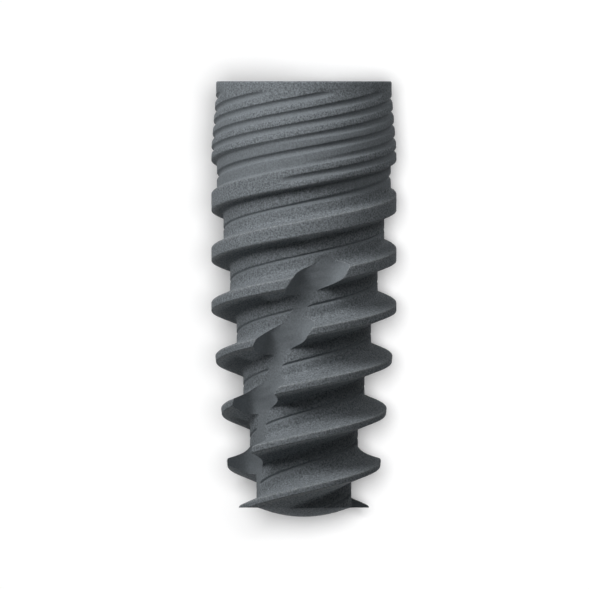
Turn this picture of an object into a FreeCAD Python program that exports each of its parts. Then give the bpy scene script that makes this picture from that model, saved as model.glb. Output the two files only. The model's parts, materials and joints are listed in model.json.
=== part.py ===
import FreeCAD, Part
import math
import os
from FreeCAD import Vector

# A tapered dental implant with a two-start thread and an internal hexagon socket.
# It is modelled upright, with its axis on Z, its platform at Z = 0, its apex below
# and its front towards -Y. At the end it is laid on its side, with the platform
# towards +Y and the front up, and rolls a little to where it comes to rest.
# A depth is measured from the platform to the apex.
# All sizes are in millimetres, and all angles in degrees.

# Outline of the body, before anything is cut into it
LENGTH = 10.0
PLATFORM_DIAMETER = 4.03
RIM_CHAMFER = 0.05
COLLAR_HEIGHT = 0.25
BODY_DIAMETER = 4.25
NECK_DEPTH = 1.55
TAPER_DEPTH = 5.49
TIP_DIAMETER = 3.30
DOME_HEIGHT = 0.21

# Main thread: two starts, right-handed, with a floor that steps inwards turn by turn
PITCH = 1.2
STARTS = 2
NECK_THREAD_DEPTH = 0.045
TIP_THREAD_DEPTH = 0.61
TIP_CREST_WIDTH = 0.105
FLANK_ANGLE = 18.3
THREAD_PHASE_DEPTH = 3.41

# Micro grooves: they cover the neck, and one in four goes on along the thread's floor
GROOVES_PER_PITCH = 4
GROOVE_WIDTH = 0.19
GROOVE_DEPTH = 0.055
GROOVE_TOP = 0.2
GROOVE_RUN_OUT = 0.2
CREST_GROOVE_END = 2.31
FLANK_GROOVE_END = 2.0

# Cutting flutes: two channels with a round bottom on a steep right-hand spiral
FLUTES = 2
FLUTE_WIDTH = 1.01
FLUTE_LEAD = 20.3
FLUTE_SINK = 0.03
FLUTE_TOP = 3.37
FLUTE_RUN_OUT = 0.75
FLUTE_FRONT_DEPTH = 5.04

# Socket for the abutment: a lead-in bevel, a hexagon and a bore for the screw
BEVEL_DIAMETER = 3.35
HEXAGON_ACROSS_FLATS = 2.42
HEXAGON_DEPTH = 1.5
RELIEF_DIAMETER = 1.9
RELIEF_DEPTH = 2.2
BORE_DIAMETER = 1.55
BORE_DEPTH = 5.4
DRILL_POINT_ANGLE = 118.0

# How far each cutter stands clear of the skin that it goes through
CLEAR = 0.1

# Turn about its own axis between lying with the front up and lying at rest
REST_ROLL = 15.3

FULL_TURN = 2 * math.pi
LEAD = PITCH * STARTS
END_DEPTH = LENGTH - DOME_HEIGHT
FLANK_SLOPE = math.tan(math.radians(FLANK_ANGLE))
FLOOR_WIDTH = PITCH - TIP_CREST_WIDTH - 2 * FLANK_SLOPE * TIP_THREAD_DEPTH
ORIGIN = Vector(0, 0, 0)
UP = Vector(0, 0, 1)


def between(value, start, end, at_start, at_end):
    """The value on the straight line through (start, at_start) and (end, at_end)."""
    return at_start + (at_end - at_start) * (value - start) / (end - start)


def skin_radius(depth):
    """Radius of the uncut body at a depth."""
    body, platform, tip = BODY_DIAMETER / 2, PLATFORM_DIAMETER / 2, TIP_DIAMETER / 2
    if depth < COLLAR_HEIGHT:
        return platform
    if depth < NECK_DEPTH:
        return between(depth, COLLAR_HEIGHT, NECK_DEPTH, platform, body)
    if depth < TAPER_DEPTH:
        return body
    return between(depth, TAPER_DEPTH, END_DEPTH, body, tip)


def core_radius(depth):
    """Radius of the thread's floor where the middle of the floor lies at a depth."""
    at_neck = BODY_DIAMETER / 2 - NECK_THREAD_DEPTH
    at_tip = TIP_DIAMETER / 2 - TIP_THREAD_DEPTH
    return between(depth, NECK_DEPTH, END_DEPTH, at_neck, at_tip)


def groove_angle(depth):
    """Angle at which the first start passes a depth; the right-hand side is angle 0."""
    return FULL_TURN * (THREAD_PHASE_DEPTH - depth) / LEAD


def polar(radius, angle, z):
    return Vector(radius * math.cos(angle), radius * math.sin(angle), z)


def turned(half_profile):
    """Solid of revolution about the axis from a closed list of edges."""
    return Part.Face(Part.Wire(half_profile)).revolve(ORIGIN, UP, 360)


def chain(points):
    """Straight edges through the points."""
    return [Part.makeLine(a, b) for a, b in zip(points, points[1:])]


def make_blank():
    """The turned body: platform, neck, cylinder, taper, flat end and small dome."""
    rim = PLATFORM_DIAMETER / 2
    dome_base = core_radius(END_DEPTH)
    points = [
        ORIGIN,
        Vector(rim - RIM_CHAMFER, 0, 0),
        Vector(rim, 0, -RIM_CHAMFER),
        Vector(rim, 0, -COLLAR_HEIGHT),
        Vector(BODY_DIAMETER / 2, 0, -NECK_DEPTH),
        Vector(BODY_DIAMETER / 2, 0, -TAPER_DEPTH),
        Vector(TIP_DIAMETER / 2, 0, -END_DEPTH),
        Vector(dome_base, 0, -END_DEPTH),
    ]
    apex = Vector(0, 0, -LENGTH)
    dome_radius = (dome_base ** 2 + DOME_HEIGHT ** 2) / (2 * DOME_HEIGHT)
    half_angle = math.asin(dome_base / dome_radius) / 2
    middle = Vector(dome_radius * math.sin(half_angle), 0,
                    dome_radius * (1 - math.cos(half_angle)) - LENGTH)
    dome = Part.Arc(points[-1], middle, apex).toShape()
    return turned(chain(points) + [dome, Part.makeLine(apex, ORIGIN)])


def helical_bar(section, stops, turn):
    """
    Closed bar that winds round the axis. section(depth) gives its corners as
    (radius, z) pairs. The bar runs from the first stop to the last, and each
    stretch between two stops is divided again, so that none passes a full turn.
    """
    faces = []
    for top, bottom in zip(stops, stops[1:]):
        parts = math.ceil((bottom - top) / LEAD)
        for i in range(parts):
            start = between(i, 0, parts, top, bottom)
            end = between(i + 1, 0, parts, top, bottom)
            faces += helical_stretch(section, start, end, turn)
    for depth in (stops[0], stops[-1]):
        faces.append(Part.Face(Part.makePolygon(closed_ring(section, depth, turn))))
    shell = Part.Shell(faces)
    shell.sewShape()
    bar = Part.Solid(shell)
    if bar.Volume < 0:
        bar.reverse()
    return bar


def closed_ring(section, depth, turn):
    """Corners of the section in space, with the first one again at the end."""
    angle = groove_angle(depth) + turn
    ring = [polar(radius, angle, z) for radius, z in section(depth)]
    return ring + ring[:1]


def helical_stretch(section, start, end, turn):
    """Ruled faces between neighbouring corner curves, over part of a turn."""
    points_per_turn = 24
    count = max(4, math.ceil(points_per_turn * (end - start) / LEAD))
    depths = [between(i, 0, count, start, end) for i in range(count + 1)]
    rings = [closed_ring(section, depth, turn) for depth in depths]
    curves = []
    for corner in zip(*rings):
        curve = Part.BSplineCurve()
        curve.interpolate(list(corner))
        curves.append(curve.toShape())
    return [Part.makeRuledSurface(a, b) for a, b in zip(curves, curves[1:])]


def make_thread_cutter(turn):
    """Cutter of one start. Its floor lies parallel to the axis on a tapering core."""
    depths = (NECK_DEPTH, TAPER_DEPTH, END_DEPTH)
    reach = CLEAR + max(skin_radius(depth) - core_radius(depth) for depth in depths)
    half_floor = FLOOR_WIDTH / 2
    half_mouth = half_floor + FLANK_SLOPE * reach

    def section(depth):
        floor = core_radius(depth)
        return [(floor, half_floor - depth), (floor, -half_floor - depth),
                (floor + reach, -half_mouth - depth), (floor + reach, half_mouth - depth)]

    return helical_bar(section, [NECK_DEPTH - PITCH / 2, LENGTH + PITCH / 2], turn)


def make_groove_cutter(number):
    """
    Cutter of one micro groove, with a V section. The one in the middle of each
    thread start goes on along the thread's floor to the apex. The others rise out
    of the skin: halfway between two starts on the crest, the rest beside the floor.
    """
    turn = FULL_TURN * number / (STARTS * GROOVES_PER_PITCH)
    place = number % GROOVES_PER_PITCH
    on_floor = place == 0
    on_crest = 2 * place == GROOVES_PER_PITCH
    height = GROOVE_DEPTH + GROOVE_DEPTH / 2
    half_mouth = height * GROOVE_WIDTH / 2 / GROOVE_DEPTH
    top_end = GROOVE_TOP + GROOVE_RUN_OUT
    bottom = CREST_GROOVE_END if on_crest else FLANK_GROOVE_END
    bottom_start = bottom - GROOVE_RUN_OUT

    def section(depth):
        tip = skin_radius(depth) - GROOVE_DEPTH
        if on_floor:
            tip = min(tip, core_radius(depth) - GROOVE_DEPTH)
        elif depth > bottom_start:
            tip += height * (depth - bottom_start) / GROOVE_RUN_OUT
        if depth < top_end:
            tip += height * (top_end - depth) / GROOVE_RUN_OUT
        return [(tip, -depth), (tip + height, -half_mouth - depth),
                (tip + height, half_mouth - depth)]

    if on_floor:
        stops = [GROOVE_TOP, top_end, thread_start_depth(), LENGTH + PITCH / 2]
    else:
        stops = [GROOVE_TOP, top_end, NECK_DEPTH, bottom_start, bottom]
    return helical_bar(section, stops, turn)


def thread_start_depth():
    """Depth at which the thread's floor comes out of the widening neck."""
    neck_slope = (BODY_DIAMETER - PLATFORM_DIAMETER) / 2 / (NECK_DEPTH - COLLAR_HEIGHT)
    core_slope = (core_radius(NECK_DEPTH) - core_radius(END_DEPTH)) / (END_DEPTH - NECK_DEPTH)
    return NECK_DEPTH - NECK_THREAD_DEPTH / (neck_slope + core_slope)


def flute_section(depth, turn):
    """A channel's section across its path: a half circle with straight sides."""
    half = FLUTE_WIDTH / 2
    angle = FULL_TURN * (FLUTE_FRONT_DEPTH - depth) / FLUTE_LEAD - FULL_TURN / 4 + turn
    outwards = polar(1, angle, 0)
    around = polar(1, angle + FULL_TURN / 4, 0)
    floor = core_radius(depth) - FLUTE_SINK
    path = around * (-FULL_TURN * floor / FLUTE_LEAD) - UP
    across = path.cross(outwards).normalize() * half
    run_out_end = FLUTE_TOP + FLUTE_RUN_OUT
    if depth < run_out_end:
        floor += FLUTE_RUN_OUT * ((run_out_end - depth) / FLUTE_RUN_OUT) ** 2
    bottom = outwards * floor - UP * depth
    centre = bottom + outwards * half
    left, right = centre - across, centre + across
    rise = outwards * (BODY_DIAMETER / 2 - core_radius(END_DEPTH) + CLEAR)
    sides = chain([right, right + rise, left + rise, left])
    return Part.Wire([Part.Arc(left, bottom, right).toShape()] + sides)


def make_flute_cutter(turn):
    """Cutter of one flute, which rises out of the body at its upper end."""
    sections = 22
    end = LENGTH + FLUTE_WIDTH / 2
    depths = [between(i, 0, sections, FLUTE_TOP, end) for i in range(sections + 1)]
    return Part.makeLoft([flute_section(depth, turn) for depth in depths], True)


def make_socket_cutters():
    """The turned part of the socket, and its hexagon."""
    bore = BORE_DIAMETER / 2
    relief = RELIEF_DIAMETER / 2
    flat = HEXAGON_ACROSS_FLATS / 2
    bevel = BEVEL_DIAMETER / 2
    point = bore / math.tan(math.radians(DRILL_POINT_ANGLE / 2))
    points = [
        Vector(0, 0, CLEAR),
        Vector(bevel + CLEAR, 0, CLEAR),
        Vector(flat, 0, flat - bevel),
        Vector(relief, 0, flat - bevel),
        Vector(relief, 0, -RELIEF_DEPTH),
        Vector(bore, 0, bore - relief - RELIEF_DEPTH),
        Vector(bore, 0, -BORE_DEPTH),
        Vector(0, 0, -BORE_DEPTH - point),
    ]
    corner = flat / math.cos(math.pi / 6)
    ring = [polar(corner, FULL_TURN * i / 6, 0) for i in range(7)]
    hexagon = Part.Face(Part.makePolygon(ring)).extrude(-UP * HEXAGON_DEPTH)
    return [turned(chain(points + points[:1])), hexagon]


def laid_down(upright):
    """The implant on its side, at rest on its crests."""
    upright.rotate(ORIGIN, Vector(1, 0, 0), -90)
    upright.rotate(ORIGIN, Vector(0, 1, 0), REST_ROLL)
    return upright


def make_implant():
    body = make_blank()
    body = body.cut([make_thread_cutter(FULL_TURN * i / STARTS) for i in range(STARTS)])
    body = body.cut([make_groove_cutter(i) for i in range(STARTS * GROOVES_PER_PITCH)])
    body = body.cut([make_flute_cutter(FULL_TURN * i / FLUTES) for i in range(FLUTES)])
    body = body.cut(make_socket_cutters())
    return laid_down(body)


def main():
    os.makedirs("parts", exist_ok=True)
    make_implant().exportStep("parts/implant_body.step")


if __name__ == "__main__":
    main()
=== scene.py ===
import bpy
import json
import math
import numpy as np
from types import SimpleNamespace
from bpy.props import FloatProperty, FloatVectorProperty, PointerProperty
from mathutils import Matrix, Vector
from mathutils.geometry import delaunay_2d_cdt

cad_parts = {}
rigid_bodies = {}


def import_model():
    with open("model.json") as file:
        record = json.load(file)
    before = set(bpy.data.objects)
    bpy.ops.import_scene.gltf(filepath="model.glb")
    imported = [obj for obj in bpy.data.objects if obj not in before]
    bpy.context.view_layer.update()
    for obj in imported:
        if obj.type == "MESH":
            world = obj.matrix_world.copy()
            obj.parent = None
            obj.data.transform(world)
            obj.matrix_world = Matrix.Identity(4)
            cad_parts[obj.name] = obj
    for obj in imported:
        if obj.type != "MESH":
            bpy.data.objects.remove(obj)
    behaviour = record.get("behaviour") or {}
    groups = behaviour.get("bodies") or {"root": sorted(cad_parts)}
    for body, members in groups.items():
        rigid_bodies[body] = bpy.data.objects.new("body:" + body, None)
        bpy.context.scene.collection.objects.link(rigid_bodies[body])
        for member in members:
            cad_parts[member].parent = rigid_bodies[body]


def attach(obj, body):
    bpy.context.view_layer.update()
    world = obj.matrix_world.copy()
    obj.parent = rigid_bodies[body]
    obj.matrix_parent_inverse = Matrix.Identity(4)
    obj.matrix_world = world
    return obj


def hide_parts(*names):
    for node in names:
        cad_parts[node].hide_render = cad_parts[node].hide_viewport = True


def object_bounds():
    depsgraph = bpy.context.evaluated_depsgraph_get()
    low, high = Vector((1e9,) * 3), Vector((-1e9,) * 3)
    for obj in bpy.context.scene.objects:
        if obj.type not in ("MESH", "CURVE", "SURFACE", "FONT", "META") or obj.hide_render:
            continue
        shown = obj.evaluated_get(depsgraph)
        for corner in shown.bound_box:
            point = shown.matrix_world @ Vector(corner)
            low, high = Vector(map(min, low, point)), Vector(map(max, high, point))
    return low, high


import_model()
cad_low, cad_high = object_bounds()

bl_info = {
    "name": "Dental Implant",
    "version": (1, 0, 0),
    "blender": (4, 5, 0),
    "location": "3D View > Sidebar > Implant",
    "description": "Tapered titanium implant with a two-start thread, flutes and a hexagon socket",
    "category": "Add Mesh",
}

# The implant is worked out upright: its axis is Z, its platform lies at height 0 and its
# apex below, and a depth is measured from the platform. laid_down() turns it to where
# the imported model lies.

FULL_TURN = 2 * math.pi
MILLIMETRE = 0.001

# The values below are in millimetres, or shares
ROUNDNESS = 0.6  # of a flute's section: 1 is a half circle, and less is flatter
LIP = 0.009  # height of the rounded edge of the flat end
LOWER_EDGE = 0.3  # softness of the crests' lower edges, as a share of the upper edges'
MICRO_EDGE = 0.014  # how far the edges of the micro grooves are rounded
SOCKET_EDGE = 0.02  # how far the edges in the socket are rounded
MICRO_GROOVES = 4  # in each pitch of the thread
FLUTE_COLUMNS = 18  # of the body's mesh, across a flute
PLAIN_COLUMNS = 50  # from one flute to the next
SPARE_PITCHES = 3.3  # rows go on this far, because they cross the platform at a slant
BLENDED_RINGS = 8  # from the collar inwards, over which the mesh turns to the hexagon
CLOSE = 1e-6  # points that are nearer to a ring than this count as on it
FLUTE_CLEARANCE = 0.08  # between a flute and the points that are added to the flat end
FAR_OUT = 9  # a radius beyond the whole body
FLUTE_STEPS = 9  # of the search for a line's points on a flute
SKIN_STEPS = 14  # of the search for a line's points on the skin


def length(name, millimetres, description):
    return FloatProperty(name=name, description=description, default=millimetres * MILLIMETRE,
                         unit="LENGTH", precision=5)


def angle(name, degrees, description):
    return FloatProperty(name=name, description=description, default=math.radians(degrees),
                         subtype="ANGLE")


def colour(name, value, description):
    return FloatVectorProperty(name=name, description=description, default=value,
                               subtype="COLOR", size=3, min=0, max=1)


class BodySizes(bpy.types.PropertyGroup):
    length: length("Length", 10.0, "From the platform to the apex")
    platform: length("Platform diameter", 4.03, "Over the collar")
    rim: length("Rim rounding", 0.05, "Radius of the platform's outer edge")
    collar: length("Collar height", 0.25, "Plain height below the platform")
    body: length("Body diameter", 4.25, "Over the crests of the thread")
    neck: length("Neck depth", 1.55, "Where the body has reached its full diameter")
    taper: length("Taper depth", 5.49, "Where the apical taper begins")
    tip: length("Tip diameter", 3.30, "Over the crests at the flat end")
    dome: length("Dome height", 0.21, "How far the apex stands out of the flat end")
    roll: angle("Roll", 15.3, "Turn about the axis to where the implant lies at rest")


class ThreadSizes(bpy.types.PropertyGroup):
    pitch: length("Pitch", 1.2, "From crest to crest; each of the two starts climbs twice this")
    neck_depth: length("Depth at the neck", 0.045, "Depth of the groove where the thread begins")
    tip_depth: length("Depth at the tip", 0.61, "Depth of the groove at the flat end")
    tip_crest: length("Crest at the tip", 0.105, "Width of the crest at the flat end")
    flank: angle("Flank angle", 18.3, "Between a flank and the plane across the axis")
    phase: length("Phase", 3.41, "Depth at which the first start crosses the right-hand side")
    softness: length("Edge softness", 0.06, "How far the edges of the thread are rounded")
    fillet: length("Fillet", 0.32, "How far the floor's lower edge is rounded")
    crest_rise: length("Crest rise", 0.022, "How much higher the crests' upper flanks lie")
    groove_width: length("Micro groove width", 0.19, "Width of a micro groove at the skin")
    groove_depth: length("Micro groove depth", 0.052, "Depth of a micro groove")
    groove_top: length("Micro groove top", 0.24, "Where the micro grooves start to sink in")
    run_out: length("Micro groove run-out", 0.10, "Height over which a micro groove fades")
    crest_end: length("Crest groove end", 2.353, "Where the micro grooves on the crests end")
    flank_end: length("Flank groove end", 1.97, "Where the micro grooves beside the floors end")


class FluteSizes(bpy.types.PropertyGroup):
    width: length("Width", 0.985, "Width of a cutting flute")
    lead: length("Lead", 20.3, "Height in which a flute would make a full turn")
    sink: length("Sink", 0.018, "How far a flute lies below the floor of the thread")
    top: length("Top", 3.37, "Where a flute begins")
    run_out: length("Run-out", 0.75, "Height over which a flute rises out of the body")
    front: length("Front depth", 5.04, "Depth at which a flute crosses the middle of the front")


class SocketSizes(bpy.types.PropertyGroup):
    bevel: length("Bevel diameter", 3.35, "Mouth of the 45 degree lead-in bevel")
    flats: length("Hexagon", 2.42, "Across the flats of the hexagon")
    flats_depth: length("Hexagon depth", 1.5, "From the platform to the hexagon's floor")
    relief: length("Relief diameter", 1.9, "Round wall below the hexagon")
    relief_depth: length("Relief depth", 2.2, "From the platform to the end of the relief")
    bore: length("Bore diameter", 1.55, "Wall of the screw hole before its thread")
    bore_depth: length("Bore depth", 5.4, "From the platform to the drill point")
    screw_pitch: length("Screw pitch", 0.35, "Pitch of the thread in the screw hole")
    screw_ridge: length("Screw ridge", 0.08, "How far the thread stands out of the wall")
    drill_point: angle("Drill point", 118, "Angle of the cone at the end of the bore")


class FinishSettings(bpy.types.PropertyGroup):
    blasted: colour("Blasted titanium", (0.292, 0.320, 0.343), "Colour of the grains of the skin")
    pits: colour("Etched pits", (0.103, 0.116, 0.126), "Colour in the pits of the grain")
    # Edges is lighter than the skin: wear, and also a painted highlight along the crests' and
    # flutes' edges
    edges: colour("Edges", (0.46, 0.48, 0.49), "Colour of the edges, where the skin is worn")
    machined: colour("Machined titanium", (0.40, 0.41, 0.42), "Colour of the turned surfaces")
    grain: length("Grain size", 0.04, "Size of the grains of the blasted skin")
    relief: length("Grain relief", 0.004, "How far the grains stand out")


class StageSettings(bpy.types.PropertyGroup):
    frame_width: length("Frame width", 13.523, "Width of the picture on the implant")
    aim_right: length("Aim to the right", -0.216, "Middle of the picture from the axis")
    aim_up: length("Aim upwards", -4.897, "Middle of the picture from the platform")
    floor_size: length("Floor size", 400, "Side of the square floor")


def plain_numbers(group):
    """The group's lengths in millimetres, and its other values as they are."""
    numbers = SimpleNamespace()
    for name in group.bl_rna.properties.keys():
        if name in ("rna_type", "name"):
            continue
        value = getattr(group, name)
        if group.bl_rna.properties[name].unit == "LENGTH":
            value = value / MILLIMETRE
        setattr(numbers, name, value)
    return numbers


def smooth_min(a, b, softness):
    blend = np.maximum(softness - np.abs(a - b), 0) / softness
    return np.minimum(a, b) - blend * blend * softness / 4


def smooth_max(a, b, softness):
    return -smooth_min(-a, -b, softness)


def smooth_step(x):
    x = np.clip(x, 0, 1)
    return x * x * (3 - 2 * x)


class ThreadedSkin:
    """Outer radius of the threaded body, before the flutes are cut into it."""

    def __init__(self, body, thread, flute):
        self.body, self.thread, self.flute = body, thread, flute
        self.end = body.length - body.dome
        self.rise = 2 * thread.pitch / FULL_TURN
        self.slope = math.tan(thread.flank)
        self.half_floor = (thread.pitch - thread.tip_crest) / 2 - self.slope * thread.tip_depth

    def skin(self, depth):
        body = self.body
        return np.interp(depth, [body.collar, body.neck, body.taper, self.end],
                         [body.platform / 2, body.body / 2, body.body / 2, body.tip / 2])

    def core(self, depth):
        """Radius of the thread's floor whose middle lies at a depth."""
        body, thread = self.body, self.thread
        at_neck = body.body / 2 - thread.neck_depth
        at_tip = body.tip / 2 - thread.tip_depth
        return at_neck + (at_tip - at_neck) * (depth - body.neck) / (self.end - body.neck)

    def groove(self, depth):
        """How deep the groove of the thread is."""
        return self.skin(depth) - self.core(depth)

    def place(self, angle, depth):
        """Height of a point below the middle of the nearest groove."""
        along = depth + self.rise * angle - self.thread.phase
        return along - np.round(along / self.thread.pitch) * self.thread.pitch

    def from_middle(self, place):
        """Distance from the middle of the groove, with the crests' upper flanks moved up."""
        return np.abs(place) + self.thread.crest_rise * (place > 0)

    def radius(self, angle, depth, micro_grooves=True):
        thread = self.thread
        place = self.place(angle, depth)
        floor = self.core(depth - place)
        flank = floor + (self.from_middle(place) - self.half_floor) / self.slope
        skin = self.skin(depth)
        fillet = np.clip(0.8 * (skin - floor), 0.02, thread.fillet)
        fillet = np.where(place > 0, fillet, np.minimum(fillet, thread.softness))
        softness = np.where(place > 0, 1, LOWER_EDGE) * thread.softness
        radius = smooth_min(skin, smooth_max(floor, flank, fillet), softness)
        for number in range(MICRO_GROOVES if micro_grooves else 0):
            cut = self.micro_groove(place, depth, number)
            if number == 0:
                cut = cut + 0.2 * self.in_flute(angle, depth)
            radius = smooth_min(radius, cut, MICRO_EDGE)
        return radius

    def flute_middle(self, depth):
        return FULL_TURN / self.flute.lead * (self.flute.front - depth) - FULL_TURN / 4

    def in_flute(self, angle, depth):
        """1 on the bottom of a flute, where it cuts the micro groove away."""
        half_turn = FULL_TURN / 2
        turn = (angle - self.flute_middle(depth) + half_turn / 2) % half_turn - half_turn / 2
        across = np.abs(turn) * self.core(depth)
        return smooth_step((0.17 - across) / 0.05) * smooth_step((depth - 3.9) / 0.2)

    def micro_groove(self, place, depth, number):
        """Radius of one of the four micro grooves in a pitch; the first is on the floor."""
        thread = self.thread
        half = thread.pitch / 2
        across = (place - number * thread.pitch / MICRO_GROOVES + half) % thread.pitch - half
        middle = depth - across
        tip = self.skin(middle) - thread.groove_depth
        height = 1.5 * thread.groove_depth
        if number == 0:
            tip = np.minimum(tip, self.core(middle) - thread.groove_depth)
        else:
            end = thread.crest_end if number == 2 else thread.flank_end
            faded = np.maximum(middle - end + thread.run_out, 0) / thread.run_out
            tip = tip + height * faded
        top_end = thread.groove_top + thread.run_out
        tip = tip + height * np.maximum(top_end - middle, 0) / thread.run_out
        # hollow on the neck, and a narrower cut on the floors further down
        narrow = smooth_step((middle - 2.3) / 0.8) if number == 0 else 0
        beyond = across / thread.groove_width + 0.07 + 0.025 * narrow
        upper = np.sqrt(np.minimum(beyond, 0) ** 2 + 0.03 ** 2) / (0.43 - 0.28 * narrow)
        lower = np.maximum(beyond, 0) / (0.40 - 0.06 * narrow)
        groove = tip + thread.groove_depth * (
            upper ** (2 - narrow) + lower ** (2 - 0.5 * narrow) - 0.1 + 0.15 * narrow)
        return np.where(np.abs(across) < 0.72 * thread.groove_width, groove, FAR_OUT)


class ThreadRows:
    """
    Heights of the mesh rows of one pitch, from the crest above a groove to the crest below
    it. On the neck they follow the micro grooves, and further down the floor's edge, the
    flank and the crest's edge.
    """

    def __init__(self, skin):
        self.skin = skin
        thread = skin.thread
        half = thread.pitch / 2
        quarter = thread.pitch / MICRO_GROOVES
        micro = thread.groove_width / 2 * np.array(
            [-1.14, -1.03, -0.92, -0.74, -0.48, -0.14, 0.1, 0.36, 0.56, 0.7, 0.95])
        parts = [micro[5:] - half]
        for middle in (-quarter, 0, quarter):
            parts += [[middle - quarter / 2], middle + micro]
        self.neck = np.concatenate(parts + [[quarter * 1.5], half + micro[:6]])
        floor = skin.half_floor
        rim = np.array([0.011, 0.024])
        crest = np.array([0.25, 0.5, 0.75, 1])
        # each row lies at fixed + share * crest edge + rim and foot * how deep the groove is
        fixed = [[0, 0.026, 0.055, 0.078, 0.097, 0.114, 0.13, 0.17, 0.21], [floor] * 5,
                 [floor * 0.56, floor * 0.34], [0] * 3, rim, rim[1] * (1 - crest) + half * crest]
        share = [[0] * 14, [0.44, 0.66], [1] * 5, 1 - crest]
        rims = [[0] * 16, -rim[::-1], [0] * 7]
        feet = [[0] * 9, [-0.11, -0.05, 0, 0.02, 0.05], [0] * 11]
        self.fixed, self.share, self.rims, self.feet = (
            self.both_sides(np.concatenate(x)) for x in (fixed, share, rims, feet))
        middle = self.count // 2
        self.fixed[middle - 5:middle] = [-0.105, -0.075, -0.052, -0.036, -0.018]
        self.fixed[middle + 9:] -= thread.crest_rise * np.concatenate([[1] * 12, 1 - crest])

    def both_sides(self, below):
        self.count = 2 * (len(below) - 1)
        return np.concatenate([-below[:0:-1], below])

    def offsets(self, row, depth):
        """Height of a row below the middle of its groove; row is 0 on the crest above it."""
        skin = self.skin
        depth_of_groove = np.maximum(skin.groove(depth), 0.02)
        flank = skin.slope * depth_of_groove
        on_thread = (self.fixed[row] + self.share[row] * (skin.half_floor + flank)
                     + self.rims[row] * np.clip(flank / 0.08, 0.05, 1)
                     + self.feet[row] * np.clip(flank / 0.2, 0.05, 1))
        weight = smooth_step((depth - 2.05) / 0.45)
        return self.neck[row] + (on_thread - self.neck[row]) * weight


class Flute:
    """A channel with a round bottom and straight walls, on a steep spiral."""

    def __init__(self, skin, sizes):
        self.skin, self.sizes = skin, sizes
        self.half = sizes.width / 2
        self.turn_per_depth = FULL_TURN / sizes.lead
        self.middle = skin.flute_middle

    def point(self, across, depth):
        """
        Radius, angle and depth of a point on the channel whose section starts at a depth.
        across is 0 on its bottom, -1 and 1 where the walls start, and goes on up the walls.
        """
        sizes, half = self.sizes, self.half
        # the bottom follows the steps of the thread's floors
        place = self.skin.place(self.middle(depth), depth)
        pitch = self.skin.thread.pitch
        place = 0.84 * place * (1 - smooth_step((np.abs(place) / pitch - 0.33) / 0.17))
        floor = self.skin.core(depth - place) - sizes.sink
        tilt = np.arctan(self.turn_per_depth * floor)
        fade = np.maximum(sizes.top + sizes.run_out - depth, 0) / sizes.run_out
        floor = floor + sizes.run_out * fade ** 2
        on_arc = np.clip(across, -1, 1) * FULL_TURN / 4
        side = half * np.sign(across) * np.abs(np.sin(on_arc)) ** ROUNDNESS
        wall = np.maximum(np.abs(across) - 1, 0) * half * FULL_TURN / 4
        height = floor + half * (1 - np.abs(np.cos(on_arc)) ** ROUNDNESS) + wall
        turn = np.arctan2(side * np.cos(tilt), height)
        radius = np.hypot(side * np.cos(tilt), height)
        return radius, self.middle(depth) + turn, depth + side * np.sin(tilt)


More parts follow.
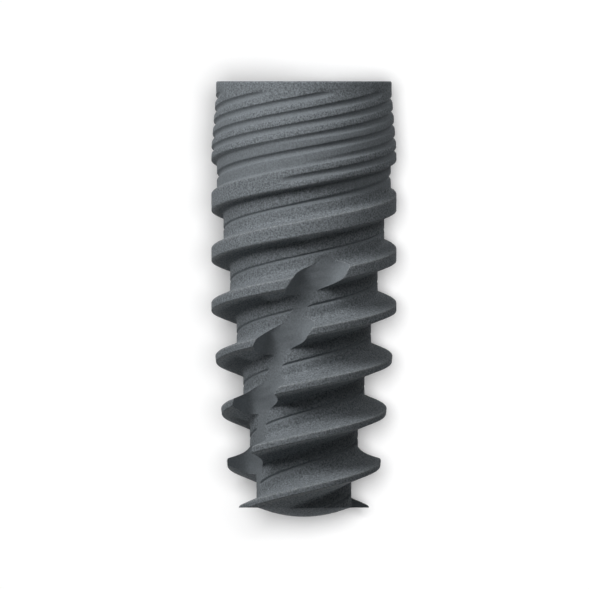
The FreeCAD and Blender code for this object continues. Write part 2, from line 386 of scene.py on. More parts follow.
class BodyGrid:
    """
    Half of the implant's outside as a grid; the other half is the same, half a turn on.
    Rows follow the thread and columns follow the flutes. The first columns lie in a flute.
    """

    def __init__(self, skin, flute):
        self.skin, self.flute = skin, flute
        self.rows = ThreadRows(skin)
        self.slant = skin.rise * flute.turn_per_depth
        self.dome_base = float(skin.core(skin.end))
        dome = skin.body.dome
        self.dome_radius = (self.dome_base ** 2 + dome ** 2) / (2 * dome)

    def end_depth(self, radius):
        """Depth of the flat end, and of the dome inside it."""
        radius = np.minimum(radius, self.dome_base)
        fall = self.dome_radius - np.sqrt(self.dome_radius ** 2 - radius ** 2)
        return self.skin.body.length - fall

    def miss(self, line, radius, angle, depth):
        """How far below a line of the grid a point lies. line is (kind, groove, row)."""
        kind, groove, row = line
        if kind == "thread":
            thread = self.skin.thread
            wanted = thread.phase + groove * thread.pitch - self.skin.rise * angle
            return depth - wanted - self.rows.offsets(row, depth)
        return depth - self.end_depth(radius) + groove if kind == "end" else depth - groove

    def share(self, line):
        """How much a step along a flute changes the height above a line."""
        return 1 - self.slant if line[0] == "thread" else 1

    def on_flute(self, line, across):
        """Points of a line on the flute's surface."""
        thread = self.skin.thread
        share = self.share(line)
        if line[0] == "thread":
            start = thread.phase + line[1] * thread.pitch + FULL_TURN / 4 * self.skin.rise
            depth = (start - self.slant * self.flute.sizes.front) / share + 0 * across
        else:
            depth = self.skin.end + 0 * across
        for _ in range(FLUTE_STEPS):
            point = self.flute.point(across, depth)
            depth = depth - self.miss(line, *point) / share
        return self.flute.point(across, depth)

    def on_skin(self, line, turn):
        """Points of a line on the skin, at an angle from the middle of the flute."""
        depth = self.skin.body.neck + 0 * turn
        for _ in range(SKIN_STEPS):
            angle = self.flute.middle(depth) + turn
            radius = self.skin.radius(angle, depth) if line[0] == "end" else depth
            depth = depth - self.miss(line, radius, angle, depth) / self.share(line)
        angle = self.flute.middle(depth) + turn
        return self.skin.radius(angle, depth), angle, depth

    def flute_edges(self, line):
        """Where the flute's surface leaves the skin, on the left and on the right."""
        samples = np.linspace(-2.2, 2.2, 221)[None, :]
        radius, angle, depth = self.on_flute(line, samples)
        over = radius - self.skin.radius(angle, depth)
        inside = over < 0
        left = np.argmax(inside, axis=1)
        right = samples.shape[1] - 1 - np.argmax(inside[:, ::-1], axis=1)
        cut = inside.any(axis=1) & (right > left)
        number = np.arange(len(left))

        def crossing(inner, outer):
            a, b = over[number, inner], over[number, outer]
            share = np.where(a == b, 0, a / np.where(a == b, 1, a - b))
            return samples[0, inner] + share * (samples[0, outer] - samples[0, inner])

        left_edge = crossing(left, np.maximum(left - 1, 0))
        right_edge = crossing(right, np.minimum(right + 1, samples.shape[1] - 1))
        nearest = samples[0, np.argmin(np.where(np.abs(samples) < 0.5, over, 1e9), axis=1)]
        return cut, left_edge, right_edge, nearest

    def flute_part(self, line):
        """
        Radius, angle and depth of the points of a set of lines across the flute, one line a
        row, and the angles at which they begin and end. Where there is no flute yet, the
        points lie on the skin.
        """
        cut, left, right, nearest = self.flute_edges(line)
        flute = self.flute
        ends = [self.on_flute(line, edge[:, None]) for edge in (left, right, nearest)]
        turns = [(angle - flute.middle(depth))[:, 0] for _, angle, depth in ends]
        middle_depth = ends[2][2][:, 0]
        least = 0.05 + 0.36 * smooth_step((3.4 - middle_depth) / 1.3)
        cut &= turns[1] - turns[0] > 2 * least
        middle = np.where(cut, (turns[0] + turns[1]) / 2, turns[2])
        left_turn = np.where(cut, turns[0], middle - least)
        right_turn = np.where(cut, turns[1], middle + least)

        run = np.maximum((right - left) * flute.half * FULL_TURN / 4, 0.05)[:, None]
        shares = shares_across(np.minimum(0.018 / run, 0.045), FLUTE_COLUMNS)
        across = left[:, None] + (right - left)[:, None] * shares
        in_flute = self.on_flute(line, across)
        skin_there = self.skin.radius(in_flute[1], in_flute[2])
        in_flute = (np.minimum(in_flute[0], skin_there),) + in_flute[1:]
        even = np.arange(FLUTE_COLUMNS)[None, :] / FLUTE_COLUMNS
        turn = left_turn[:, None] + (right_turn - left_turn)[:, None] * even
        on_skin = self.on_skin(line, turn)
        cut = cut[:, None]
        return [np.where(cut, a, b) for a, b in zip(in_flute, on_skin)], left_turn, right_turn

    def half_turn(self, line, shift=0):
        """
        Points of the lines from a flute to the next one, half a turn on. The next flute's
        points of the same line are those that lie shift rows further up.
        """
        flute_part, left, right = self.flute_part(line)
        next_left = np.concatenate([left[:shift], left[:len(left) - shift]])
        width = (next_left + FULL_TURN / 2 - right)[:, None]
        shares = shares_across(0.009 / width, PLAIN_COLUMNS)
        plain_part = self.on_skin(line, right[:, None] + width * shares)
        return [np.concatenate(pair, axis=1) for pair in zip(flute_part, plain_part)]

    def thread_points(self):
        """All points of the rows that follow the thread, past both ends of the implant."""
        thread, count = self.skin.thread, self.rows.count
        first = math.floor(-thread.phase / thread.pitch - SPARE_PITCHES)
        last = math.ceil((self.skin.body.length - thread.phase) / thread.pitch + SPARE_PITCHES)
        number = np.arange((last - first) * count)[:, None]
        return self.half_turn(("thread", first + number // count, number % count), count)

    def ring(self, kind, place):
        """Points of one ring: at a depth on the collar, or at a height above the end."""
        return [part[0] for part in self.half_turn((kind, place, 0))]


def shares_across(near, count):
    """Shares from 0 up to 1, even but for two that lie near each end."""
    inner = np.linspace(0, 1, count - 3)[1:-1]
    spread = 3 * near + (1 - 6 * near) * inner[None, :]
    return np.concatenate([0 * near, near, 3 * near, spread, 1 - 3 * near, 1 - near], 1)


def upright_points(radius, angle, depth):
    return np.stack([radius * np.cos(angle), radius * np.sin(angle), -depth], axis=-1)


def laid_down(points, roll):
    """Turns upright points in millimetres to where the implant lies, in metres."""
    x, y, z = points[..., 0], points[..., 1], points[..., 2]
    turned = np.stack([x * math.cos(roll) - y * math.sin(roll), z,
                       -x * math.sin(roll) - y * math.cos(roll)], axis=-1)
    return turned * MILLIMETRE


def socket_angles(angles):
    """The same angles, with some moved to the hexagon's corners and close beside them."""
    angles = np.concatenate([angles, angles + FULL_TURN / 2])
    moved = angles.copy()
    for corner in range(-6, 13):
        wanted = corner * FULL_TURN / 6
        if not angles[0] - 0.001 <= wanted < angles[-1] + 0.03:
            continue
        nearest = int(np.argmin(np.abs(angles - wanted)))
        for step, away in ((-1, -0.012), (0, 0), (1, 0.012)):
            moved[(nearest + step) % len(angles)] = wanted + away
    return moved[:len(angles) // 2]


def arc(start, corner, end, steps=4):
    """Points of a rounded corner."""
    t = np.linspace(0, 1, steps + 1)[:, None]
    a, b, c = (np.array(p, float) for p in (start, corner, end))
    return ((1 - t) ** 2 * a + 2 * t * (1 - t) * b + t ** 2 * c).tolist()


def point_height(socket):
    """Height of the cone that the drill leaves at the end of the bore."""
    return socket.bore / 2 / math.tan(socket.drill_point / 2)


def socket_rings(body, socket, angles):
    """Rings from the drill point up the socket and over the platform to the collar."""
    away = (angles + FULL_TURN / 12) % (FULL_TURN / 6) - FULL_TURN / 12
    flat = socket.flats / 2
    hexagon = flat / np.cos(np.abs(np.abs(away) - FULL_TURN / 12))
    hexagon = np.minimum(hexagon, flat / math.cos(FULL_TURN / 12) - 0.012)
    relief, bore, bevel = socket.relief / 2, socket.bore / 2, socket.bevel / 2
    rim, platform = body.rim, body.platform / 2
    chamfer_end = socket.relief_depth + relief - bore
    floor, edge = socket.flats_depth, SOCKET_EDGE
    meets = bevel - hexagon
    middle = (hexagon + bevel) / 2
    # each ring is (radius, depth), and either may change round the axis
    rings = [(bore * share, socket.bore_depth + point_height(socket) * (1 - share))
             for share in (0.33, 0.66, 0.94)]
    rings.append((bore, socket.bore_depth - 0.03))
    rings += [(bore, socket.bore_depth + (chamfer_end + edge - socket.bore_depth) * share)
              for share in np.linspace(0, 1, 9)[1:]]
    rings += [(bore + edge, chamfer_end - edge),
              (relief - 0.015, socket.relief_depth + 0.015),
              (relief, socket.relief_depth - edge),
              (relief, floor + 0.03),
              (relief + 0.008, floor + 0.008),
              (relief + 0.03, floor),
              (np.maximum(hexagon - edge, relief + 0.05), floor),
              (hexagon, floor - edge)]
    rings += [(hexagon, floor + (meets - floor) * share) for share in (0.35, 0.7)]
    rings += [(hexagon, meets + edge),
              (hexagon + 0.006, meets + 0.002),
              (hexagon + edge, meets - edge),
              (middle, bevel - middle)]
    rings += arc((bevel - edge, edge), (bevel, 0), (bevel + 0.025, 0), 3)
    rings.append(((bevel + platform) / 2, 0))
    rings += arc((platform - rim, 0), (platform, 0), (platform, rim), 6)
    rings += [(platform, rim + 0.03), (platform, body.collar * 0.55)]
    return [(radius + 0 * angles, depth + 0 * angles) for radius, depth in rings]


def surface_masks(grid, radius, angle, depth):
    """How much each point of the thread's rows gets the lighter edge colour, for wear and as a
    painted highlight, and how smooth it is, from 0 to 1.
    """
    skin = grid.skin
    groove = skin.groove(depth)
    full = skin.radius(angle, depth)
    place = skin.from_middle(skin.place(angle, depth))
    edge = skin.half_floor + skin.slope * np.maximum(groove, 0)
    # the crests' edges, and below them the flutes' edges, get the lighter colour: wear, and a
    # painted highlight where these edges would catch light
    worn_and_highlit = np.exp(-((place - edge) / 0.025) ** 2) * smooth_step((groove - 0.05) / 0.15)
    in_flute = radius < full - 0.003
    worn_and_highlit[in_flute] = 0
    cut = in_flute[:, 1] | in_flute[:, FLUTE_COLUMNS - 1]
    for column in (0, FLUTE_COLUMNS):
        worn_and_highlit[cut, column] = 1
    bare = skin.radius(angle, depth, micro_grooves=False)
    smooth = np.clip((bare - radius) / 0.02, 0, 1) * 0.7
    smooth[in_flute] = 0.75 * np.clip((full - radius)[in_flute] / 0.04, 0, 1)
    smooth = np.maximum(smooth, 0.6 * skin.in_flute(angle, depth))
    first_floors = (place < edge) & (groove < 0.16) & (depth > 0.9)
    return worn_and_highlit, np.maximum(smooth, 0.6 * first_floors)


def build_body(body, thread, flute_sizes, socket):
    """Points, faces and masks of the whole implant."""
    skin = ThreadedSkin(body, thread, flute_sizes)
    grid = BodyGrid(skin, Flute(skin, flute_sizes))
    radius, angle, depth = grid.thread_points()
    collar_ring = grid.ring("collar", body.collar)
    end_ring, lip_ring = grid.ring("end", LIP), grid.ring("end", LIP / 3)
    vertices = []

    def add(points):
        """Adds points of half the outside, and returns their numbers."""
        start = sum(len(v) for v in vertices)
        vertices.append(points)
        return np.arange(start, start + len(points))

    angles = collar_ring[1]
    inner = socket_angles(angles)
    rings = socket_rings(body, socket, inner)
    shares = np.ones(len(rings))
    shares[-BLENDED_RINGS:] = np.linspace(1, 0, BLENDED_RINGS)
    levels = [add(upright_points(ring_radius, angles + (inner - angles) * share, ring_depth))
              for (ring_radius, ring_depth), share in zip(rings, shares)]
    top = add(upright_points(*collar_ring))
    levels.append(top)

    points = upright_points(radius, angle, depth)
    beside = (points[:, FLUTE_COLUMNS - 1] + points[:, FLUTE_COLUMNS + 1]) / 2
    points[:, FLUTE_COLUMNS] += (beside - points[:, FLUTE_COLUMNS]) / 2
    above = depth <= body.collar + CLOSE
    own = ~above & (depth < grid.end_depth(radius) - LIP - CLOSE)
    below = ~own & ~above
    numbers = np.zeros(own.shape, int)
    numbers[own] = add(points[own])
    end = add(upright_points(*end_ring))
    lip = add(upright_points(*lip_ring))
    # rows that go past a ring take the ring's points
    column = np.arange(own.shape[1])[None, :] + np.zeros_like(numbers)
    numbers[above] = top[column[above]]
    numbers[below] = end[column[below]]

    half = np.concatenate(vertices)
    total = len(half)
    masks = np.zeros((total, 2))
    worn_and_highlit, smooth = surface_masks(grid, radius, angle, depth)
    masks[numbers[own]] = np.stack([worn_and_highlit[own], smooth[own]], axis=1)

    def strip(upper, lower, next_upper, next_lower, turn):
        """Faces between two lines of numbers; the next ones close it at its right end."""
        a = np.append(upper + turn * total, next_upper + (1 - turn) * total)
        b = np.append(lower + turn * total, next_lower + (1 - turn) * total)
        return np.stack([a[:-1], b[:-1], b[1:], a[1:]], axis=1)

    quads = []
    shift = grid.rows.count
    for turn in (0, 1):
        for upper, lower in [*zip(levels, levels[1:]), (end, lip)]:
            quads.append(strip(upper, lower, upper[0], lower[0], turn))
        for number in range(len(numbers) - 1):
            ahead = [numbers[n - shift, 0] if n >= shift else top[0]
                     for n in (number, number + 1)]
            quads.append(strip(numbers[number], numbers[number + 1], *ahead, turn))
    faces = []
    for quad in np.concatenate(quads).tolist():
        corners = [c for i, c in enumerate(quad) if c != quad[i - 1]]
        if len(set(corners)) == len(corners) and len(corners) > 2:
            faces.append(corners)

    points = np.concatenate([half, half * np.array([-1, -1, 1])]).tolist()
    masks = np.concatenate([masks, masks]).tolist()
    pole = len(points)
    points.append([0, 0, -socket.bore_depth - point_height(socket)])
    masks.append((0, 0))
    first_ring = levels[0].tolist() + (levels[0] + total).tolist()
    for a, b in zip(first_ring, first_ring[1:] + first_ring[:1]):
        faces.append([pole, a, b])
    close_end(grid, points, masks, faces, lip.tolist() + (lip + total).tolist())
    return np.array(points), faces, np.array(masks)


def clear_of_flutes(grid, x, y):
    """Whether a point lies on the flat end or the dome, clear of the flutes and the edge."""
    flute, skin = grid.flute, grid.skin
    away, angle = math.hypot(x, y), math.atan2(y, x)
    floor = float(skin.core(skin.end)) - flute.sizes.sink
    reach = flute.half + FLUTE_CLEARANCE
    for turn in (0, FULL_TURN / 2):
        middle = float(flute.middle(skin.end)) + turn
        height, side = away * math.cos(angle - middle), away * math.sin(angle - middle)
        beyond_round = math.hypot(height - floor - flute.half, side) > reach
        if not (height < floor - 0.03 or abs(side) > reach
                or beyond_round and height < floor + flute.half):
            return False
    return away < float(skin.radius(np.array(angle), np.array(skin.end))) - 0.06


def close_end(grid, points, masks, faces, lip):
    """Closes the flat end and its dome with triangles between the lip and some circles."""
    outline = np.array([points[i][:2] for i in lip])
    along = np.roll(outline, -1, axis=0) - np.roll(outline, 1, axis=0)
    along /= np.linalg.norm(along, axis=1)[:, None]
    inwards = outline + LIP / 2 * np.stack([-along[:, 1], along[:, 0]], axis=1)

    def add(x, y):
        """Adds a point of the end, and returns its number."""
        points.append([x, y, -float(grid.end_depth(math.hypot(x, y)))])
        masks.append((0, 0))
        return len(points) - 1

    edge = [add(x, y) for x, y in inwards.tolist()]
    count = len(lip)
    for i in range(count):
        j = (i + 1) % count
        faces.append([lip[i], edge[i], edge[j], lip[j]])
    base = grid.dome_base
    inner = []
    for radius in (base + 0.3, base + 0.15, base + 0.02, base - 0.02, base * 0.85, base * 0.7,
                   base * 0.55, base * 0.4, base * 0.25, base * 0.1):
        steps = max(12, int(radius * 60))
        for i in range(steps):
            turn = FULL_TURN * i / steps
            x, y = radius * math.cos(turn), radius * math.sin(turn)
            if clear_of_flutes(grid, x, y):
                inner.append((x, y))
    flat = [Vector(p) for p in inwards.tolist() + inner + [(0.0, 0.0)]]
    result = delaunay_2d_cdt(flat, [], [list(range(count))], 1, 1e-6)
    numbers = [edge[origins[0]] if origins and origins[0] < count else add(vertex.x, vertex.y)
               for vertex, origins in zip(result[0], result[3])]
    for triangle in result[2]:
        corners = [numbers[i] for i in triangle]
        a, b, c = (np.array(points[i][:2]) for i in corners)
        if (b - a)[0] * (c - a)[1] - (b - a)[1] * (c - a)[0] > 0:
            corners.reverse()
        faces.append(corners)


def link(name, mesh):
    piece = bpy.data.objects.new(name, mesh)
    bpy.context.scene.collection.objects.link(piece)
    return piece


# Materials

def feed(tree, socket, value):
    """Links a socket to another one, or sets its value."""
    if isinstance(value, bpy.types.NodeSocket):
        tree.links.new(value, socket)
    else:
        socket.default_value = value


def feed_all(tree, node, inputs):
    for name, value in inputs.items():
        feed(tree, node.inputs[name], value)


def add_node(tree, kind, inputs, **settings):
    """A new node with its settings, and with its inputs linked or set."""
    node = tree.nodes.new(kind)
    for name, value in settings.items():
        setattr(node, name, value)
    feed_all(tree, node, inputs)
    return node


def node_group(name, inputs, outputs, kind="ShaderNodeTree"):
    """An empty group with the named sockets, its input node and its output node."""
    group = bpy.data.node_groups.new(name, kind)
    for way, sockets in (("INPUT", inputs), ("OUTPUT", outputs)):
        for socket_name, socket_kind in sockets.items():
            group.interface.new_socket(socket_name, in_out=way,
                                       socket_type="NodeSocket" + socket_kind)
    return group, group.nodes.new("NodeGroupInput"), group.nodes.new("NodeGroupOutput")


def math_node(tree, operation, *values):
    node = add_node(tree, "ShaderNodeMath", {}, operation=operation)
    for socket, value in zip(node.inputs, values):
        feed(tree, socket, value)
    return node.outputs[0]


def map_range(tree, value, limits):
    return add_node(tree, "ShaderNodeMapRange", {"Value": value, **limits}).outputs["Result"]


def mask_of(tree, name):
    return add_node(tree, "ShaderNodeAttribute", {}, attribute_name=name).outputs["Fac"]


def bumped(tree, height, strength, distance):
    """Normals of a surface with this relief."""
    bump = add_node(tree, "ShaderNodeBump",
                    {"Strength": strength, "Distance": distance, "Height": height})
    return bump.outputs["Normal"]


def mix_colours(tree, factor, first, second):
    mix = add_node(tree, "ShaderNodeMix", {"Factor": factor}, data_type="RGBA")
    for name, value in (("A", first), ("B", second)):
        socket = [s for s in mix.inputs if s.name == name and s.type == "RGBA"][0]
        feed(tree, socket, value if isinstance(value, bpy.types.NodeSocket) else (*value, 1))
    return [s for s in mix.outputs if s.type == "RGBA"][0]


def grain_group():
    """Grain of a blasted and etched surface: a value for colour, and a height."""
    group, given, result = node_group(
        "Blasted grain", {"Position": "Vector", "Grain size": "Float", "Seed": "Float"},
        {"Tone": "Float", "Height": "Float"})
    position = given.outputs["Position"]
    scale = math_node(group, "DIVIDE", 1.0, given.outputs["Grain size"])
    noise = add_node(group, "ShaderNodeTexNoise",
                     {"Vector": position, "W": given.outputs["Seed"], "Scale": scale,
                      "Detail": 3, "Roughness": 0.62}, noise_dimensions="4D").outputs[0]
    pits = add_node(group, "ShaderNodeTexVoronoi",
                    {"Vector": position, "Scale": math_node(group, "MULTIPLY", scale, 0.8),
                     "Smoothness": 0.6}, feature="SMOOTH_F1").outputs["Distance"]
    low = math_node(group, "MULTIPLY", pits, 0.5)
    feed_all(group, result, {
        "Tone": map_range(group, noise, {"From Min": 0.34, "From Max": 0.68}),
        "Height": math_node(group, "MULTIPLY_ADD", noise, 1.4, low)})
    return group


def edge_wear_and_highlight_group():
    """Lighter edges, for wear and as a painted highlight: the piece's edge mask, broken up by the
    grain.
    """
    group, given, result = node_group(
        "Edge wear and highlight", {"Tone": "Float", "Amount": "Float"}, {"Mask": "Float"})
    broken = math_node(group, "MULTIPLY_ADD", given.outputs["Tone"], 0.7, 0.45)
    mask = math_node(group, "MULTIPLY", mask_of(group, "edge"), broken)
    mask = math_node(group, "MULTIPLY", mask, given.outputs["Amount"])
    feed_all(group, result, {"Mask": mask})
    return group


def new_material(name):
    material = bpy.data.materials.new(name)
    material.use_nodes = True
    tree = material.node_tree
    shader = tree.nodes["Principled BSDF"]
    place = tree.nodes.new("ShaderNodeTexCoord").outputs["Object"]
    return material, tree, shader, place


def add_grain(tree, grain, place, size, seed):
    inputs = {"Position": place, "Grain size": size, "Seed": seed}
    return add_node(tree, "ShaderNodeGroup", inputs, node_tree=grain).outputs


def blasted_material(finish, grain, worn_and_highlit):
    """The skin: pits and grains, smoother where it is cut, and lighter at the edges, for wear and
    as a painted highlight.
    """
    _, tree, shader, place = new_material("Blasted titanium")
    fine = add_grain(tree, grain, place, finish.grain, 3.0)
    coarse = add_grain(tree, grain, place, finish.grain * 9, 8.0)
    smooth = mask_of(tree, "smooth")
    cloud = math_node(tree, "MULTIPLY", coarse["Tone"], 0.03)
    even = tuple((a + b) / 2 for a, b in zip(finish.pits, finish.blasted))
    skin = mix_colours(tree, fine["Tone"], finish.pits, finish.blasted)
    skin = mix_colours(tree, cloud, skin, finish.edges)
    skin = mix_colours(tree, smooth, skin, even)
    # the edges' lighter colour, put on by the edge mask, is wear and also a painted highlight
    edges = add_node(tree, "ShaderNodeGroup", {"Tone": fine["Tone"], "Amount": 0.3},
                     node_tree=worn_and_highlit)
    flatter = math_node(tree, "MULTIPLY_ADD", smooth, -0.8, 1.0)
    height = math_node(tree, "MULTIPLY", fine["Height"], flatter)
    feed_all(tree, shader, {
        "Base Color": mix_colours(tree, edges.outputs["Mask"], skin, finish.edges),
        "Roughness": map_range(tree, fine["Tone"], {"To Min": 0.82, "To Max": 0.66}),
        "Metallic": 0.03,
        "Specular IOR Level": 0.07,
        "Normal": bumped(tree, height, 0.9, finish.relief)})


def machined_material(finish, grain):
    """Turned surfaces: fine rings round the axis, and a little grain."""
    _, tree, shader, place = new_material("Machined titanium")
    fine = add_grain(tree, grain, place, finish.grain * 0.7, 5.0)
    x, y, z = add_node(tree, "ShaderNodeSeparateXYZ", {"Vector": place}).outputs
    squares = [math_node(tree, "MULTIPLY", part, part) for part in (x, z)]
    away = math_node(tree, "SQRT", math_node(tree, "ADD", *squares))
    rings = add_node(tree, "ShaderNodeTexNoise",
                     {"W": math_node(tree, "ADD", away, y), "Scale": 60000, "Detail": 2},
                     noise_dimensions="1D").outputs[0]
    dark = tuple(0.72 * c for c in finish.machined)
    feed_all(tree, shader, {
        "Base Color": mix_colours(tree, rings, dark, finish.machined),
        "Roughness": map_range(tree, fine["Tone"], {"To Min": 0.26, "To Max": 0.40}),
        "Metallic": 1,
        "Normal": bumped(tree, rings, 0.35, 0.0000015)})


def finishes():
    """The two materials, made once."""
    names = ("Blasted titanium", "Machined titanium")
    if names[0] not in bpy.data.materials:
        finish = bpy.context.scene.implant_finish
        grain = grain_group()
        blasted_material(finish, grain, edge_wear_and_highlight_group())
        machined_material(finish, grain)
    return [bpy.data.materials[name] for name in names]


class IMPLANT_OT_body(bpy.types.Operator):
    """Build the threaded body with its flutes and its socket"""
    bl_idname = "implant.body"
    bl_label = "Implant Body"

    def execute(self, context):
        scene = context.scene
        body, thread, flute, socket = (plain_numbers(group) for group in (
            scene.implant_body, scene.implant_thread, scene.implant_flute,
            scene.implant_socket))
        points, faces, masks = build_body(body, thread, flute, socket)
        mesh = bpy.data.meshes.new("threaded_body")
        mesh.from_pydata(laid_down(points, body.roll).tolist(), [], faces)
        # the edge mask holds wear and a painted highlight along the edges
        for name, values in zip(("edge", "smooth"), masks.T):
            mask = mesh.attributes.new(name, "FLOAT", "POINT")
            mask.data.foreach_set("value", values.astype(np.float32))
        for material in finishes():
            mesh.materials.append(material)
        depths = -points[:, 2]
        away = np.hypot(points[:, 0], points[:, 1])
        limit = np.where(depths < 0.001, body.platform / 2 - body.rim * 0.6,
                         np.where(depths < 0.5, socket.bevel / 2, socket.flats * 0.58) + 0.003)
        inside = (away < limit) & (depths < socket.bore_depth + 0.6)
        for polygon in mesh.polygons:
            polygon.material_index = int(all(inside[i] for i in polygon.vertices))
        mesh.polygons.foreach_set("use_smooth", [True] * len(mesh.polygons))
        if mesh.validate(verbose=False):
            raise RuntimeError("the body's mesh had faults")
        mesh.update()
        piece = link("threaded_body", mesh)
        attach(piece, "root")
        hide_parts("implant_body")
        return {"FINISHED"}


def ridge_tree(material):
    """A coiled ridge with a pointed section, closed at both ends."""
    sizes = dict.fromkeys(("Radius", "Pitch", "Height", "Ridge"), "Float")
    tree, given, result = node_group("Screw thread", {"Geometry": "Geometry", **sizes},
                                     {"Geometry": "Geometry"}, "GeometryNodeTree")
    radius, pitch, height, ridge = (given.outputs[name] for name in sizes)
    spiral = add_node(tree, "GeometryNodeCurveSpiral", {
        "Resolution": 48, "Rotations": math_node(tree, "DIVIDE", height, pitch),
        "Start Radius": radius, "End Radius": radius, "Height": height})
    upright = add_node(tree, "GeometryNodeSetCurveNormal",
                       {"Curve": spiral.outputs["Curve"]}, mode="Z_UP")
    section = add_node(tree, "GeometryNodeCurvePrimitiveQuadrilateral", {
        "Width": math_node(tree, "MULTIPLY", pitch, 0.86),
        "Bottom Height": ridge, "Top Height": ridge}, mode="KITE")
    bar = add_node(tree, "GeometryNodeCurveToMesh", {
        "Curve": upright.outputs["Curve"], "Profile Curve": section.outputs["Curve"],
        "Fill Caps": True})
    real = add_node(tree, "GeometryNodeRealizeInstances", {"Geometry": bar.outputs["Mesh"]})
    paint = add_node(tree, "GeometryNodeSetMaterial",
                     {"Geometry": real.outputs["Geometry"], "Material": material})
    feed_all(tree, result, {"Geometry": paint.outputs["Geometry"]})
    return tree


def plain_mesh(tree, **values):
    """The mesh that a geometry tree makes with the given inputs."""
    carrier = link("carrier", bpy.data.meshes.new("carrier"))
    modifier = carrier.modifiers.new("tree", "NODES")
    modifier.node_group = tree
    for item in tree.interface.items_tree:
        if item.in_out == "INPUT" and item.name in values:
            modifier[item.identifier] = values[item.name]
    evaluated = carrier.evaluated_get(bpy.context.evaluated_depsgraph_get())
    mesh = bpy.data.meshes.new_from_object(evaluated)
    carrier.modifiers.clear()
    bpy.data.objects.remove(carrier)
    return mesh


class IMPLANT_OT_screw_thread(bpy.types.Operator):
    """Build the fine thread in the screw hole"""
    bl_idname = "implant.screw_thread"
    bl_label = "Screw Thread"

    def execute(self, context):
        scene = context.scene
        body, socket = (plain_numbers(g) for g in (scene.implant_body, scene.implant_socket))
        top = socket.relief_depth + (socket.relief - socket.bore) / 2 + socket.screw_pitch * 0.4
        bottom = socket.bore_depth - socket.screw_pitch * 1.2
        mesh = plain_mesh(ridge_tree(finishes()[1]), Radius=socket.bore / 2,
                          Pitch=socket.screw_pitch, Height=bottom - top,
                          Ridge=socket.screw_ridge)
        points = np.zeros(len(mesh.vertices) * 3)
        mesh.vertices.foreach_get("co", points)
        points = points.reshape(-1, 3) - [0, 0, bottom]
        mesh.vertices.foreach_set("co", laid_down(points, body.roll).ravel())
        mesh.name = "screw_hole_thread"
        mesh.update()
        piece = link("screw_hole_thread", mesh)
        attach(piece, "root")
        return {"FINISHED"}


def view_axes(roll):
    """The picture's directions to the right, upwards and to the camera."""
    return (Vector((math.cos(roll), 0, -math.sin(roll))), Vector((0, 1, 0)),
            Vector((math.sin(roll), 0, math.cos(roll))))


def mix_by_ray(tree, others, seen, output):
    """Gives the camera, reflections and transmission one shader, and other rays another."""
    rays = tree.nodes.new("ShaderNodeLightPath").outputs
    factor = math_node(tree, "MAXIMUM", rays["Is Camera Ray"], rays["Is Glossy Ray"])
    factor = math_node(tree, "MAXIMUM", factor, rays["Is Transmission Ray"])
    mix = add_node(tree, "ShaderNodeMixShader", {0: factor, 1: others, 2: seen})
    feed_all(tree, tree.nodes[output], {"Surface": mix.outputs[0]})


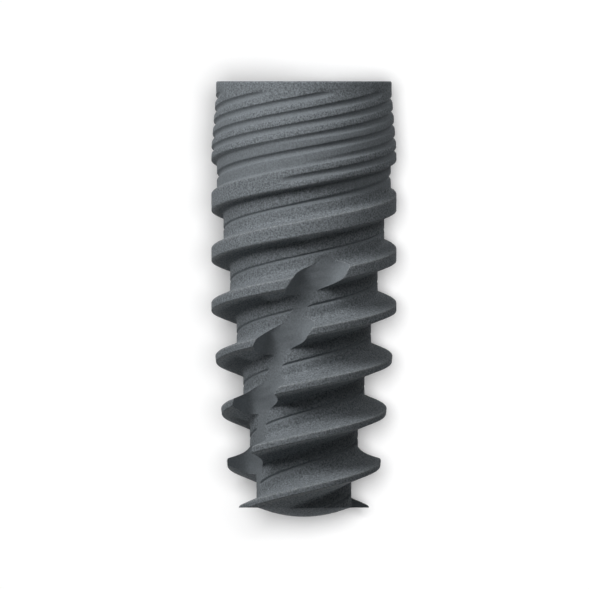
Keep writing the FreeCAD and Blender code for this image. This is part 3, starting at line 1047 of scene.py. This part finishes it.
class IMPLANT_OT_stage(bpy.types.Operator):
    """Set up the floor, the lights and the camera"""
    bl_idname = "implant.stage"
    bl_label = "Stage"

    def execute(self, context):
        scene = context.scene
        roll = scene.implant_body.roll
        stage = scene.implant_stage
        self.make_floor(stage.floor_size / 2)
        self.make_world(scene)
        right, up, near = view_axes(roll)
        target = right * stage.aim_right + up * stage.aim_up
        turn = Matrix((right, up, near)).transposed().to_4x4()
        camera = bpy.data.objects.new("camera", bpy.data.cameras.new("camera"))
        camera.data.type = "ORTHO"
        camera.data.ortho_scale = stage.frame_width
        camera.data.clip_start = 0.001
        camera.data.clip_end = 5
        camera.matrix_world = Matrix.Translation(target + near * 0.08) @ turn
        scene.collection.objects.link(camera)
        scene.camera = camera
        middle = up * -0.001
        floor, implant = self.receivers(scene)
        lights = (
            ("overhead", near + up * 0.02, 0.40, 0.16, 1.76, floor),
            ("key", right * -0.70 + up * 0.33 + near * 0.58, 0.04, 0.016, 0.0070, implant),
            ("top", right * -0.36 + up * 0.74 + near * 0.57, 0.05, 0.035, 0.0116, implant),
            ("fill", right * 0.50 + up * 0.56 + near * 0.80, 0.03, 0.015, 0.0017, implant),
            ("foot", right * -0.1 - up + near * 0.07, 0.10, 0.012, 0.009, implant),
        )
        for name, direction, *rest in lights:
            self.make_light(scene, name, middle, direction.normalized(), *rest)
        scene.view_settings.view_transform = "Standard"
        return {"FINISHED"}

    def receivers(self, scene):
        """A collection of the floor, and one of the implant's pieces, for the lights."""
        floor = bpy.data.collections.new("floor")
        implant = bpy.data.collections.new("implant")
        for thing in scene.objects:
            if thing.type == "MESH":
                (floor if thing.name == "floor" else implant).objects.link(thing)
        return floor, implant

    def make_floor(self, half):
        low = cad_low.z - 0.00002
        corners = [(-half, -half, low), (half, -half, low), (half, half, low), (-half, half, low)]
        mesh = bpy.data.meshes.new("floor")
        mesh.from_pydata(corners, [], [(0, 1, 2, 3)])
        material, tree, shader, _ = new_material("Floor")
        feed_all(tree, shader, {
            "Base Color": (0.92, 0.92, 0.92, 1), "Roughness": 1, "Specular IOR Level": 0,
            "Emission Color": (0.97, 0.97, 1, 1), "Emission Strength": 0.05})
        plain = add_node(tree, "ShaderNodeBsdfDiffuse", {"Color": (0.05, 0.05, 0.05, 1)})
        mix_by_ray(tree, plain.outputs[0], shader.outputs[0], "Material Output")
        mesh.materials.append(material)
        link("floor", mesh)

    def make_world(self, scene):
        world = scene.world or bpy.data.worlds.new("world")
        scene.world = world
        world.use_nodes = True
        tree = world.node_tree
        soft = tree.nodes["Background"]
        feed_all(tree, soft, {"Color": (0.95, 0.98, 1, 1), "Strength": 0.045})
        white = add_node(tree, "ShaderNodeBackground", {"Color": (1, 1, 1, 1)})
        mix_by_ray(tree, soft.outputs[0], white.outputs[0], "World Output")

    def make_light(self, scene, name, target, direction, distance, size, power, lit):
        lamp = bpy.data.lights.new(name, "AREA")
        lamp.shape = "DISK"
        lamp.size = size
        lamp.energy = power
        light = bpy.data.objects.new(name, lamp)
        light.location = target + direction * distance
        light.light_linking.receiver_collection = lit
        light.rotation_mode = "QUATERNION"
        light.rotation_quaternion = (-direction).to_track_quat("-Z", "Y")
        scene.collection.objects.link(light)


class IMPLANT_PT_panel(bpy.types.Panel):
    bl_label = "Dental Implant"
    bl_idname = "IMPLANT_PT_panel"
    bl_space_type = "VIEW_3D"
    bl_region_type = "UI"
    bl_category = "Implant"

    def draw(self, context):
        for operator in OPERATORS:
            self.layout.operator(operator.bl_idname)
        for name in GROUPS:
            box = self.layout.box()
            box.label(text=name.replace("_", " ").capitalize())
            group = getattr(context.scene, name)
            for value in group.bl_rna.properties.keys():
                if value not in ("rna_type", "name"):
                    box.prop(group, value)


OPERATORS = (IMPLANT_OT_body, IMPLANT_OT_screw_thread, IMPLANT_OT_stage)
GROUPS = {
    "implant_body": BodySizes,
    "implant_thread": ThreadSizes,
    "implant_flute": FluteSizes,
    "implant_socket": SocketSizes,
    "implant_finish": FinishSettings,
    "implant_stage": StageSettings,
}


def register():
    for group in GROUPS.values():
        bpy.utils.register_class(group)
    for name, group in GROUPS.items():
        setattr(bpy.types.Scene, name, PointerProperty(type=group))
    for operator in OPERATORS:
        bpy.utils.register_class(operator)
    bpy.utils.register_class(IMPLANT_PT_panel)


def unregister():
    bpy.utils.unregister_class(IMPLANT_PT_panel)
    for operator in reversed(OPERATORS):
        bpy.utils.unregister_class(operator)
    for name in GROUPS:
        delattr(bpy.types.Scene, name)
    for group in reversed(list(GROUPS.values())):
        bpy.utils.unregister_class(group)


def main():
    register()
    bpy.ops.implant.body()
    bpy.ops.implant.screw_thread()
    bpy.ops.implant.stage()


if __name__ == "__main__":
    main()
